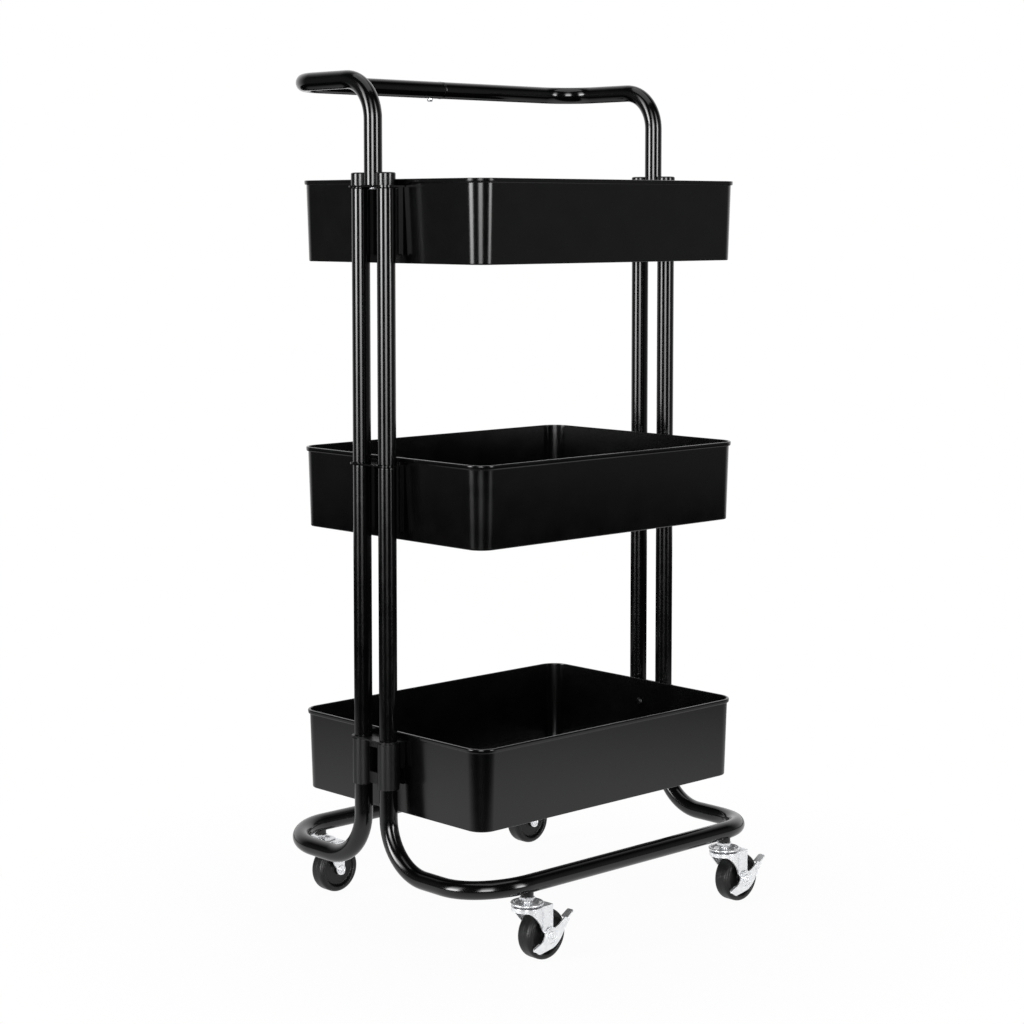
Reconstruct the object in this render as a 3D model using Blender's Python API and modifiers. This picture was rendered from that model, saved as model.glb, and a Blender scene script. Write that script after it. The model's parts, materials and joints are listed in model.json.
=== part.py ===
"""Three-tier tool cart on four swivel casters.

Frame: metres, +Z up, the floor at Z = 0, the origin on the floor under the cart's middle.
X runs along the baskets, Y across them; the handle's bar is on the +Y side and the two
casters with brakes are on the -Y side.
"""
import math

import bmesh
import bpy
from mathutils import Matrix, Vector

# Shared fits
GAP = 0.0003
TUBE_RADIUS = 0.0095
TUBE_WALL = 0.001
TUBE_RINGS = 4
SMOOTH_ANGLE = math.radians(35)

# Baskets
BASKET_LENGTH = 0.3890
BASKET_WIDTH = 0.2908
BASKET_HEIGHT = 0.0862
BASKET_CORNER = 0.0205
BASKET_SHEET = 0.0008
RIM_PROUD = 0.002
RIM_FOLD = 0.0035
RIM_FLARE = 0.0002
WALL_TAPER = 0.0026
FLOOR_BEND = 0.0012
RIM_TOPS = {"bottom": 0.2198, "middle": 0.5065, "top": 0.7917}

# Posts, two at each end of the baskets
POST_X = 0.2086
POST_Y = 0.0200
NECK_RADIUS = 0.0081
NECK_LENGTH = 0.014
NECK_SHOULDER = 0.0012

# Base loops
BASE_Z = 0.0806
BAR_Y = 0.1665
ARM_DROP = 0.0042
RISER_BEND = 0.055
CORNER_BEND = 0.062
BEND_STEPS = 5

# Brackets between posts and baskets
FLANGE_DROP = 0.007
FLANGE_THICK = 0.0015
FLANGE_REACH = 0.0112
BRACKET_SHEET = 0.0016
SLEEVE_RADIUS = 0.0113
SLEEVE_HEIGHT = 0.0505
SLEEVE_WINDOW_LOW = 0.014
SLEEVE_WINDOW_HIGH = 0.010
RIB_THICK = 0.0024
BRIDGE_THICK = 0.003
TIE_HEIGHT = 0.011
WEB_HALF_WIDTH = 0.0285
WEB_DEPTH = 0.006
WING_FOOT = 0.0025
BOTTOM_WING_FOOT = 0.0215
BRACKET_FOOT = 0.006
WALL_SCREW_DROP = 0.026
SCREW_HOLE = 0.0028
SCREW_RADIUS = 0.0024
NUT_RADIUS = 0.0044
NUT_HEIGHT = 0.0032
SCREW_HEAD = 0.0022

# Handle
HANDLE_Z = 0.8941
HANDLE_Y = 0.1382
HANDLE_RISE_BEND = 0.042
HANDLE_CORNER = 0.042
HANDLE_SEAM_X = 0.0068
HANDLE_SCREW_X = -0.009
HANDLE_NECK = 0.034
HANDLE_HOLE = 0.0023
HANDLE_SCREW_DROP = 0.0034
FOOT_SCREW_RADIUS = 0.0042
FOOT_SCREW_DROP = 0.0020

# Post caps
CAP_RADIUS = 0.0100
CAP_HEIGHT = 0.0135
CAP_EDGE = 0.0012

# Casters
STEM_X = 0.150
SOCKET_RADIUS = 0.0067
SOCKET_LOW = 0.0105
TRAIL = 0.020
WHEEL_RADIUS = 0.0262
WHEEL_HALF_WIDTH = 0.0098
WHEEL_WEB_EDGE = 0.0194
WHEEL_SHOULDER = 0.0230
TREAD_EDGE = 0.0026
FORK_TOP = 0.0582
FORK_SHEET = 0.0016
FORK_DISC_RADIUS = 0.0163
FORK_HALF_WIDTH = 0.013
FORK_BACK = 0.0245
FORK_TIP = 0.0064
FORK_SKIRT = 0.0045
FORK_FRONT = -0.0085
FORK_SWEEP = 1.25
KINGPIN_RADIUS = 0.0028
RACE_GAP = 0.0021
BEARING_RADIUS = 0.0132
AXLE_RADIUS = 0.0023
AXLE_END = 0.0175
LEVER_SHEET = 0.0015
LEVER_BOSS = 0.0004
LEVER_BOSS_RADIUS = 0.0062
LEVER_DISC = 0.0088
LEVER_PAD = (0.0105, 0.0085)
LEVER_PAD_SPOT = (0.0233, 0.0138)
LEVER_SHOE = (0.0080, 0.0033)
LEVER_SHOE_SPOT = (-0.0213, -0.0109)
LEVER_PAD_TURN = math.radians(-32)
LEVER_SHOE_TURN = math.radians(-28)

ENDS = {"left": -1, "right": 1}
CORNERS = {
    "front_left": (-1, -1),
    "front_right": (1, -1),
    "back_left": (-1, 1),
    "back_right": (1, 1),
}


# Scene and materials
def clear_scene():
    for old in list(bpy.data.objects):
        bpy.data.objects.remove(old, do_unlink=True)


def new_collection(name):
    collection = bpy.data.collections.new(name)
    bpy.context.scene.collection.children.link(collection)
    return collection


def new_material(name, colour, roughness, metallic):
    material = bpy.data.materials.new(name)
    material.use_nodes = True
    shader = material.node_tree.nodes["Principled BSDF"]
    shader.inputs["Base Color"].default_value = (*colour, 1.0)
    shader.inputs["Roughness"].default_value = roughness
    shader.inputs["Metallic"].default_value = metallic
    return material


clear_scene()
PARTS = new_collection("tool_cart")
LOOKS = {
    "black_powder_coat": new_material("black_powder_coat", (0.012, 0.012, 0.013), 0.28, 0.0),
    "black_plastic": new_material("black_plastic", (0.014, 0.014, 0.015), 0.40, 0.0),
    "zinc": new_material("zinc", (0.78, 0.79, 0.80), 0.25, 1.0),
    "bearing_steel": new_material("bearing_steel", (0.30, 0.30, 0.31), 0.35, 1.0),
    "black_screw": new_material("black_screw", (0.02, 0.02, 0.02), 0.35, 1.0),
}


# Building blocks
def add_object(name, data, look=None):
    made = bpy.data.objects.new(name, data)
    PARTS.objects.link(made)
    if look:
        data.materials.clear()
        data.materials.append(LOOKS[look])
    return made


def mesh_object(name, bm, look=None):
    mesh = bpy.data.meshes.new(name)
    bm.to_mesh(mesh)
    bm.free()
    return add_object(name, mesh, look)


def baked(made, look=None):
    """Turn an object and its modifiers or bevel into one plain welded mesh object."""
    graph = bpy.context.evaluated_depsgraph_get()
    graph.update()
    mesh = bpy.data.meshes.new_from_object(made.evaluated_get(graph))
    name = made.name
    placed = made.matrix_world.copy()
    bpy.data.objects.remove(made, do_unlink=True)
    bm = bmesh.new()
    bm.from_mesh(mesh)
    bmesh.ops.remove_doubles(bm, verts=bm.verts, dist=1e-6)
    bmesh.ops.recalc_face_normals(bm, faces=bm.faces)
    bm.to_mesh(mesh)
    bm.free()
    result = add_object(name, mesh, look)
    result.matrix_world = placed
    return result


def finished(made, look):
    """Give a piece its material and smooth shading with sharp edges kept."""
    made.data.materials.clear()
    made.data.materials.append(LOOKS[look])
    made.data.shade_smooth()
    made.data.set_sharp_from_angle(angle=SMOOTH_ANGLE)
    return made


def box(name, low, high):
    bm = bmesh.new()
    bmesh.ops.create_cube(bm, size=1.0)
    size = Vector(high) - Vector(low)
    bmesh.ops.scale(bm, vec=size, verts=bm.verts)
    bmesh.ops.translate(bm, vec=(Vector(high) + Vector(low)) / 2, verts=bm.verts)
    return mesh_object(name, bm)


def cylinder(name, radius, start, end, segments=24):
    """A solid cylinder between two points."""
    start = Vector(start)
    end = Vector(end)
    along = end - start
    bm = bmesh.new()
    bmesh.ops.create_cone(
        bm, cap_ends=True, segments=segments, radius1=radius, radius2=radius, depth=along.length)
    turn = Vector((0, 0, 1)).rotation_difference(along).to_matrix().to_4x4()
    bmesh.ops.transform(bm, matrix=Matrix.Translation((start + end) / 2) @ turn, verts=bm.verts)
    return mesh_object(name, bm)


def combined(base, others, operation):
    """Join the others to the base, or cut them from it, one exact boolean at a time."""
    for other in others:
        step = base.modifiers.new("step", "BOOLEAN")
        step.operation = operation
        step.solver = "EXACT"
        step.object = other
        base = baked(base)
        bpy.data.objects.remove(other, do_unlink=True)
    return base


def turned(name, profile, segments, centre, axis="Z"):
    """A solid of revolution from (radius, height) points running down the outer side."""
    bm = bmesh.new()
    points = [bm.verts.new((radius, 0, height)) for radius, height in profile]
    closed = profile[0][0] > 0
    for first, second in zip(points, points[1:]):
        bm.edges.new((first, second))
    if closed:
        bm.edges.new((points[-1], points[0]))
    made = mesh_object(name, bm)
    screw = made.modifiers.new("screw", "SCREW")
    screw.steps = segments
    screw.render_steps = segments
    screw.use_merge_vertices = True
    screw.merge_threshold = 1e-5
    made = baked(made)
    turn = Matrix.Identity(4)
    if axis == "Y":
        turn = Matrix.Rotation(math.radians(-90), 4, "X")
    made.data.transform(turn)
    made.location = centre
    return made


def flat_outline(name, points, thickness):
    """A closed outline in X and Z given a thickness across Y."""
    curve = bpy.data.curves.new(name, "CURVE")
    curve.dimensions = "2D"
    curve.fill_mode = "BOTH"
    curve.extrude = thickness / 2
    spline = curve.splines.new("POLY")
    spline.points.add(len(points) - 1)
    for slot, (x, z) in zip(spline.points, points):
        slot.co = (x, z, 0, 1)
    spline.use_cyclic_u = True
    made = add_object(name, curve)
    made.rotation_euler = (math.radians(90), 0, 0)
    bpy.context.view_layer.update()
    made = baked(made)
    made.data.transform(made.matrix_world)
    made.matrix_world = Matrix.Identity(4)
    return made


def swept_tube(name, route, radius=TUBE_RADIUS, wall=TUBE_WALL):
    """A bent tube through (point, radius factor) pairs; with no wall it is a solid bar."""
    curve = bpy.data.curves.new(name, "CURVE")
    curve.dimensions = "3D"
    curve.bevel_depth = radius
    curve.bevel_resolution = TUBE_RINGS
    curve.use_fill_caps = wall == 0
    spline = curve.splines.new("POLY")
    spline.points.add(len(route) - 1)
    for slot, (point, factor) in zip(spline.points, route):
        slot.co = (*point, 1)
        slot.radius = factor
    made = baked(add_object(name, curve))
    if wall:
        shell = made.modifiers.new("wall", "SOLIDIFY")
        shell.thickness = wall
        shell.offset = -1
        made = baked(made)
    return made


def plain(points):
    return [(point, 1.0) for point in points]


def necked(z_shoulder, x, y):
    """The swaged end of an upright tube: a shoulder, then a neck that plugs into the next."""
    neck = NECK_RADIUS / TUBE_RADIUS
    return [
        ((x, y, z_shoulder - NECK_SHOULDER), 1.0),
        ((x, y, z_shoulder - NECK_SHOULDER / 4), (1.0 + neck) / 2 + 0.04),
        ((x, y, z_shoulder), neck),
        ((x, y, z_shoulder + NECK_LENGTH), neck),
    ]


def arc(centre, first, second, radius, steps=BEND_STEPS):
    """Points of a quarter turn from centre + first * radius to centre + second * radius."""
    made = []
    for step in range(steps + 1):
        angle = math.pi / 2 * step / steps
        offset = Vector(first) * math.cos(angle) + Vector(second) * math.sin(angle)
        made.append(Vector(centre) + offset * radius)
    return made


def flange_top(level):
    return RIM_TOPS[level] - FLANGE_DROP


def shoulder_height(level):
    return flange_top(level) - FLANGE_THICK - GAP


# Base
def loop_half(end, side):
    """One half of a base loop: riser, bend, arm and plan corner, down to the bar."""
    x = end * POST_X
    y_post = side * POST_Y
    arm_z = BASE_Z - ARM_DROP
    riser = necked(shoulder_height("bottom"), x, y_post)[::-1]
    bend_centre = (x, y_post + side * RISER_BEND, arm_z + RISER_BEND)
    bend = arc(bend_centre, (0, -side, 0), (0, 0, -1), RISER_BEND)
    corner_y = side * (BAR_Y - CORNER_BEND)
    corner_centre = (x - end * CORNER_BEND, corner_y, arm_z)
    corner = arc(corner_centre, (end, 0, 0), (0, side, 0), CORNER_BEND, BEND_STEPS + 2)
    for index, point in enumerate(corner):
        share = index / (len(corner) - 1)
        point.z += ARM_DROP * share * share * (3 - 2 * share)
    return riser + plain(bend) + plain(corner)


def base_route(side):
    left = loop_half(-1, side)
    right = loop_half(1, side)
    return left + right[::-1]


def make_base():
    for name, side in {"base_tube_front": -1, "base_tube_back": 1}.items():
        finished(swept_tube(name, base_route(side)), "black_powder_coat")


# Posts
def make_posts():
    spans = {"lower": ("bottom", "middle"), "upper": ("middle", "top")}
    for span, (below, above) in spans.items():
        for corner, (end, side) in CORNERS.items():
            x = end * POST_X
            y = side * POST_Y
            foot = ((x, y, flange_top(below) + GAP), 1.0)
            route = [foot] + necked(shoulder_height(above), x, y)
            post = swept_tube(f"post_{span}_{corner}", route)
            finished(post, "black_powder_coat")


def make_post_caps():
    bottom = flange_top("top") + GAP
    top = bottom + CAP_HEIGHT
    bore = TUBE_RADIUS - TUBE_WALL
    roof = shoulder_height("top") + NECK_LENGTH + GAP
    profile = [
        (0, top),
        (CAP_RADIUS * 0.55, top - CAP_EDGE * 0.15),
        (CAP_RADIUS - CAP_EDGE, top - CAP_EDGE * 0.4),
        (CAP_RADIUS - CAP_EDGE * 0.3, top - CAP_EDGE * 0.8),
        (CAP_RADIUS, top - CAP_EDGE * 1.6),
        (CAP_RADIUS, bottom),
        (bore, bottom),
        (bore, roof),
        (0, roof),
    ]
    for corner, (end, side) in CORNERS.items():
        centre = (end * POST_X, side * POST_Y, 0)
        finished(turned(f"post_cap_{corner}", profile, 16, centre), "black_plastic")


# Baskets
def wall_x(level, z):
    """The outer face of a basket's end wall at a height."""
    top = BASKET_LENGTH / 2 - RIM_PROUD
    return top - WALL_TAPER * (RIM_TOPS[level] - z) / BASKET_HEIGHT


def bevel_edges(bm, wanted, width, segments):
    edges = [edge for edge in bm.edges if wanted(edge)]
    bmesh.ops.bevel(
        bm, geom=edges, offset=width, offset_type="OFFSET", segments=segments, profile=0.5,
        affect="EDGES", clamp_overlap=True)


def extrude_rim(bm, outward, upward):
    """Fold the open top edge on: out by a distance and up (or down) by another."""
    rim = [edge for edge in bm.edges if edge.is_boundary]
    made = bmesh.ops.extrude_edge_only(bm, edges=rim)["geom"]
    corners = [item for item in made if isinstance(item, bmesh.types.BMVert)]
    half_x = max(abs(vert.co.x) for vert in corners)
    half_y = max(abs(vert.co.y) for vert in corners)
    for vert in corners:
        vert.co.x *= (half_x + outward) / half_x
        vert.co.y *= (half_y + outward) / half_y
        vert.co.z += upward


def make_basket(level):
    top = RIM_TOPS[level]
    length = BASKET_LENGTH - 2 * RIM_PROUD - BASKET_SHEET - 2 * RIM_FLARE
    width = BASKET_WIDTH - 2 * RIM_PROUD - BASKET_SHEET - 2 * RIM_FLARE
    wall_height = BASKET_HEIGHT - BASKET_SHEET - RIM_FOLD / 4
    bm = bmesh.new()
    bmesh.ops.create_cube(bm, size=1.0)
    bmesh.ops.scale(bm, vec=(length, width, wall_height), verts=bm.verts)
    bmesh.ops.translate(bm, vec=(0, 0, wall_height / 2), verts=bm.verts)
    bmesh.ops.delete(
        bm, geom=[face for face in bm.faces if face.normal.z > 0.5], context="FACES_ONLY")
    bevel_edges(bm, lambda edge: abs((edge.verts[0].co - edge.verts[1].co).z) > 0.01,
                BASKET_CORNER - RIM_PROUD, 5)
    for vert in bm.verts:
        if vert.co.z < wall_height / 2:
            vert.co.x *= 1 - 2 * WALL_TAPER / length
            vert.co.y *= 1 - 2 * WALL_TAPER / width
    bevel_edges(bm, lambda edge: max(vert.co.z for vert in edge.verts) < 1e-5, FLOOR_BEND, 2)
    extrude_rim(bm, RIM_PROUD * 0.35, RIM_FOLD / 4)
    extrude_rim(bm, RIM_PROUD * 0.65, -RIM_FOLD / 8)
    extrude_rim(bm, RIM_FLARE, -RIM_FOLD * 7 / 8)
    bmesh.ops.translate(bm, vec=(0, 0, BASKET_SHEET), verts=bm.verts)
    bmesh.ops.recalc_face_normals(bm, faces=bm.faces)
    basket = mesh_object(f"basket_{level}", bm)
    shell = basket.modifiers.new("sheet", "SOLIDIFY")
    shell.thickness = BASKET_SHEET
    shell.offset = 0
    basket = baked(basket)
    highest = max(vert.co.z for vert in basket.data.vertices)
    basket.data.transform(Matrix.Translation((0, 0, -highest)))
    basket.location.z = top
    screw_z = top - WALL_SCREW_DROP
    reach = BASKET_LENGTH / 2 + 0.01
    drill = cylinder("drill", SCREW_HOLE, (-reach, 0, screw_z), (reach, 0, screw_z), 12)
    bpy.context.view_layer.update()
    basket = combined(basket, [drill], "DIFFERENCE")
    finished(basket, "black_powder_coat")


# Brackets
def web_inner_x():
    """The face of a bracket's web that lies against the basket."""
    return BASKET_LENGTH / 2 - RIM_PROUD + GAP * 2


def flange_solid(end, z_top):
    """The level plate that the posts' necks pass through."""
    inner = web_inner_x()
    outer = POST_X + FLANGE_REACH
    half = POST_Y + FLANGE_REACH
    plate = box("flange", (inner, -half, z_top - FLANGE_THICK), (outer, half, z_top))
    bm = bmesh.new()
    bm.from_mesh(plate.data)
    bevel_edges(
        bm,
        lambda edge: min(v.co.x for v in edge.verts) > outer - 1e-5
        and abs(edge.verts[0].co.z - edge.verts[1].co.z) > 1e-5,
        FLANGE_REACH - 0.0005, 6)
    bm.to_mesh(plate.data)
    bm.free()
    plate.data.transform(Matrix.Diagonal((end, 1, 1, 1)))
    if end < 0:
        plate.data.flip_normals()
    return plate


def end_box(name, end, x_low, x_high, half_y, z_low, z_high, y_mid=0.0):
    low = (min(end * x_low, end * x_high), y_mid - half_y, z_low)
    high = (max(end * x_low, end * x_high), y_mid + half_y, z_high)
    return box(name, low, high)


def make_bracket(level, side_name):
    end = ENDS[side_name]
    z_top = flange_top(level)
    is_bottom = level == "bottom"
    height = SLEEVE_HEIGHT if is_bottom else BASKET_HEIGHT - FLANGE_DROP - BRACKET_FOOT
    z_low = z_top - height
    web_x = web_inner_x()
    joins = []
    web_top = z_top - FLANGE_THICK / 2
    joins.append(end_box(
        "web", end, web_x, web_x + BRACKET_SHEET, WEB_HALF_WIDTH, z_low + 0.0011, web_top))
    wing_y = WEB_HALF_WIDTH - BRACKET_SHEET / 2
    wing_end = web_x + WEB_DEPTH
    wing_low = z_low + (BOTTOM_WING_FOOT if is_bottom else WING_FOOT)
    for side in (-1, 1):
        joins.append(end_box(
            "wing", end, web_x + 0.0002, wing_end, BRACKET_SHEET / 2, wing_low, web_top,
            side * wing_y))
    if is_bottom:
        for side in (-1, 1):
            centre = (end * POST_X, side * POST_Y)
            joins.append(cylinder(
                "sleeve", SLEEVE_RADIUS, (*centre, z_low), (*centre, web_top), 24))
        joins.append(end_box(
            "bridge", end, POST_X - BRIDGE_THICK / 2, POST_X + BRIDGE_THICK / 2,
            POST_Y - 0.004, z_low + 0.002, web_top + 0.0002))
        joins.append(end_box(
            "tie", end, web_x + 0.0005, POST_X, RIB_THICK / 2, z_low + 0.003,
            z_low + 0.003 + TIE_HEIGHT))
        for side in (-1, 1):
            joins.append(end_box(
                "cheek", end, web_x + 0.0005, POST_X - 0.004, RIB_THICK / 2,
                z_low + 0.0035, web_top - 0.0002, side * POST_Y))
    bracket = combined(flange_solid(end, z_top), joins, "UNION")
    cuts = []
    for side in (-1, 1):
        centre = (end * POST_X, side * POST_Y)
        hole = NECK_RADIUS + GAP
        cuts.append(cylinder(
            "neck_hole", hole, (*centre, z_top - 0.01), (*centre, z_top + 0.01), 24))
        if is_bottom:
            cuts.append(cylinder(
                "bore", TUBE_RADIUS + GAP, (*centre, z_low - 0.01),
                (*centre, z_top - FLANGE_THICK), 24))
    if is_bottom:
        cuts.append(end_box(
            "window", end, POST_X - 0.004, POST_X + 0.02, POST_Y - SLEEVE_RADIUS - 0.0002,
            z_low + SLEEVE_WINDOW_LOW, z_top - SLEEVE_WINDOW_HIGH))
    screw_z = RIM_TOPS[level] - WALL_SCREW_DROP
    cuts.append(cylinder(
        "screw_hole", SCREW_HOLE, (end * (web_x - 0.01), 0, screw_z),
        (end * (web_x + 0.0035), 0, screw_z), 12))
    if level == "top":
        cuts.append(cylinder(
            "foot_hole", SCREW_HOLE, (end * POST_X, 0, z_top - 0.01),
            (end * POST_X, 0, z_top + 0.01), 12))
    bracket = combined(bracket, cuts, "DIFFERENCE")
    bracket.name = f"bracket_{level}_{side_name}"
    finished(bracket, "black_powder_coat")


def make_wall_screw(level, side_name):
    """A low domed screw inside the basket, through the wall and the bracket, with its nut."""
    end = ENDS[side_name]
    z = RIM_TOPS[level] - WALL_SCREW_DROP
    inside = wall_x(level, z) - BASKET_SHEET - GAP * 2
    nut_start = web_inner_x() + BRACKET_SHEET + GAP
    origin = inside - SCREW_HEAD
    nut_low = nut_start - origin
    nut_top = nut_low + NUT_HEIGHT
    thread_top = nut_top + 0.0008
    head_radius = SCREW_RADIUS * 1.9
    profile = [
        (0, thread_top),
        (SCREW_RADIUS - 0.0002, thread_top),
        (SCREW_RADIUS, nut_top),
        (NUT_RADIUS - 0.0004, nut_top),
        (NUT_RADIUS, nut_top - 0.0004),
        (NUT_RADIUS, nut_low),
        (SCREW_RADIUS, nut_low),
        (SCREW_RADIUS, SCREW_HEAD),
        (head_radius, SCREW_HEAD),
        (head_radius, SCREW_HEAD * 0.7),
        (head_radius * 0.8, SCREW_HEAD * 0.2),
        (0, 0),
    ]
    screw = turned(f"wall_screw_{level}_{side_name}", profile, 10, (0, 0, 0))
    screw.data.transform(Matrix.Rotation(math.radians(90 * end), 4, "Y"))
    screw.location = (end * origin, 0, z)
    finished(screw, "black_screw")


# Handle
def handle_half(end):
    foot = flange_top("top") + GAP
    x = end * POST_X
    rise_centre = (x, HANDLE_RISE_BEND, HANDLE_Z - HANDLE_RISE_BEND)
    rise = arc(rise_centre, (0, -1, 0), (0, 0, 1), HANDLE_RISE_BEND)
    corner_centre = (x - end * HANDLE_CORNER, HANDLE_Y - HANDLE_CORNER, HANDLE_Z)
    corner = arc(corner_centre, (end, 0, 0), (0, 1, 0), HANDLE_CORNER)
    return plain([(x, 0, foot)] + rise + corner)


def make_handle():
    neck = NECK_RADIUS / TUBE_RADIUS
    left_end = ((HANDLE_SEAM_X - GAP / 2, HANDLE_Y, HANDLE_Z), 1.0)
    left = swept_tube("handle_left", handle_half(-1) + [left_end])
    right_route = handle_half(1)
    for offset, factor in ((GAP / 2 + NECK_SHOULDER, 1.0), (GAP / 2, neck), (-HANDLE_NECK, neck)):
        right_route.append(((HANDLE_SEAM_X + offset, HANDLE_Y, HANDLE_Z), factor))
    right = swept_tube("handle_right", right_route)
    for half in (left, right):
        drill = cylinder(
            "drill", HANDLE_HOLE, (HANDLE_SCREW_X, HANDLE_Y, HANDLE_Z - 0.02),
            (HANDLE_SCREW_X, HANDLE_Y, HANDLE_Z - 0.004), 12)
        finished(combined(half, [drill], "DIFFERENCE"), "black_powder_coat")
    under = -TUBE_RADIUS - GAP
    profile = [
        (0, under + 0.005),
        (0.0019, under + 0.005),
        (0.0019, under),
        (0.0034, under),
        (0.0034, under - HANDLE_SCREW_DROP * 0.5),
        (0.0026, under - HANDLE_SCREW_DROP * 0.85),
        (0, under - HANDLE_SCREW_DROP),
    ]
    screw = turned("handle_joint_screw", profile, 14, (HANDLE_SCREW_X, HANDLE_Y, HANDLE_Z))
    finished(screw, "zinc")
    under = -FLANGE_THICK - 2 * GAP
    profile = [
        (0, 0.012),
        (0.0022, 0.012),
        (0.0024, 0.0115),
        (0.0024, under),
        (FOOT_SCREW_RADIUS, under),
        (FOOT_SCREW_RADIUS, under - FOOT_SCREW_DROP * 0.4),
        (FOOT_SCREW_RADIUS * 0.7, under - FOOT_SCREW_DROP * 0.9),
        (0, under - FOOT_SCREW_DROP),
    ]
    for side_name, end in ENDS.items():
        centre = (end * POST_X, 0, flange_top("top"))
        finished(turned(f"handle_foot_screw_{side_name}", profile, 14, centre), "zinc")


# Casters
def make_socket(name, x, y, side):
    """A welded boss under the base tube, shaped to the tube's round underside."""
    low = FORK_TOP + SOCKET_LOW
    boss = cylinder(name, SOCKET_RADIUS, (x, y, low), (x, y, BASE_Z - 0.004), 24)
    tube = swept_tube("saddle", base_route(side), TUBE_RADIUS + GAP, 0)
    finished(combined(boss, [tube], "DIFFERENCE"), "black_powder_coat")


def make_stem(name, x, y):
    """The fixed half of the caster: collar, neck, dished race and riveted kingpin."""
    profile = [
        (0, 0.0102),
        (0.0060, 0.0102),
        (0.0066, 0.0096),
        (0.0066, 0.0072),
        (0.0044, 0.0066),
        (0.0044, 0.0032),
        (0.0110, 0.0030),
        (0.0132, 0.0044),
        (0.0164, 0.0044),
        (0.0173, 0.0032),
        (0.0164, RACE_GAP),
        (KINGPIN_RADIUS, RACE_GAP),
        (KINGPIN_RADIUS, -FORK_SHEET - GAP),
        (0.0046, -FORK_SHEET - GAP),
        (0, -FORK_SHEET - 0.0022),
    ]
    finished(turned(name, profile, 18, (x, y, FORK_TOP)), "zinc")


def make_bearing(name, x, y):
    """The ball ring between the fixed race and the fork's disc."""
    mid = RACE_GAP / 2
    half = mid - GAP
    profile = [
        (BEARING_RADIUS - half * 1.6, mid + half * 0.5),
        (BEARING_RADIUS - half * 0.8, mid + half),
        (BEARING_RADIUS + half * 0.8, mid + half),
        (BEARING_RADIUS + half * 1.6, mid + half * 0.5),
        (BEARING_RADIUS + half * 1.6, mid - half * 0.5),
        (BEARING_RADIUS + half * 0.8, mid - half),
        (BEARING_RADIUS - half * 0.8, mid - half),
        (BEARING_RADIUS - half * 1.6, mid - half * 0.5),
    ]
    finished(turned(name, profile, 14, (x, y, FORK_TOP)), "bearing_steel")


def fork_side_outline():
    """The fork seen from its side, about the stem's axis: skirt, swept front edge and tip."""
    skirt = FORK_TOP - FORK_SKIRT
    front = -2 * FORK_DISC_RADIUS
    points = [(front, FORK_TOP + 0.002), (front, skirt), (FORK_FRONT, skirt)]
    for step in range(1, 6):
        share = step / 5
        x = FORK_FRONT + (TRAIL - FORK_TIP + GAP - FORK_FRONT) * share
        z = skirt - (skirt - WHEEL_RADIUS - FORK_TIP / 2) * share ** FORK_SWEEP
        points.append((x, z))
    for step in range(9):
        angle = math.radians(170 + 190 * step / 8)
        points.append((TRAIL + FORK_TIP * math.cos(angle), WHEEL_RADIUS + FORK_TIP * math.sin(angle)))
    points.append((FORK_BACK + 0.004, WHEEL_RADIUS + 0.012))
    points.append((FORK_BACK + 0.004, FORK_TOP + 0.002))
    return points


def fork_shell(radius, half_width, back, z_low, z_high):
    disc = cylinder("disc", radius, (0, 0, z_low), (0, 0, z_high), 28)
    body = box("body", (0.0, -half_width, z_low), (back, half_width, z_high))
    return combined(disc, [body], "UNION")


def fork_mesh():
    outer = fork_shell(FORK_DISC_RADIUS, FORK_HALF_WIDTH, FORK_BACK, 0.010, FORK_TOP)
    inner = fork_shell(
        FORK_DISC_RADIUS - FORK_SHEET, FORK_HALF_WIDTH - FORK_SHEET, FORK_BACK + 0.01, 0.005,
        FORK_TOP - FORK_SHEET)
    fork = combined(outer, [inner], "DIFFERENCE")
    side = flat_outline("side", fork_side_outline(), 0.05)
    fork = combined(fork, [side], "INTERSECT")
    kingpin = cylinder("kingpin", KINGPIN_RADIUS + GAP, (0, 0, 0.04), (0, 0, 0.07), 16)
    axle = cylinder(
        "axle", AXLE_RADIUS + GAP, (TRAIL, -0.03, WHEEL_RADIUS), (TRAIL, 0.03, WHEEL_RADIUS), 14)
    fork = combined(fork, [kingpin, axle], "DIFFERENCE")
    mesh = fork.data
    bpy.data.objects.remove(fork, do_unlink=True)
    return mesh


def wheel_profile():
    half = WHEEL_HALF_WIDTH
    return [
        (AXLE_RADIUS + GAP * 2, half + 0.0006),
        (0.0062, half + 0.0006),
        (0.0066, half - 0.0030),
        (WHEEL_WEB_EDGE, half - 0.0036),
        (WHEEL_WEB_EDGE + 0.0010, half - 0.0004),
        (WHEEL_SHOULDER, half),
        (WHEEL_RADIUS - TREAD_EDGE * 0.35, half - TREAD_EDGE * 0.5),
        (WHEEL_RADIUS, half - TREAD_EDGE * 1.3),
        (WHEEL_RADIUS, -half + TREAD_EDGE * 1.3),
        (WHEEL_RADIUS - TREAD_EDGE * 0.35, -half + TREAD_EDGE * 0.5),
        (WHEEL_SHOULDER, -half),
        (WHEEL_WEB_EDGE + 0.0010, -half + 0.0004),
        (WHEEL_WEB_EDGE, -half + 0.0036),
        (0.0066, -half + 0.0030),
        (0.0062, -half - 0.0006),
        (AXLE_RADIUS + GAP * 2, -half - 0.0006),
    ]


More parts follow.
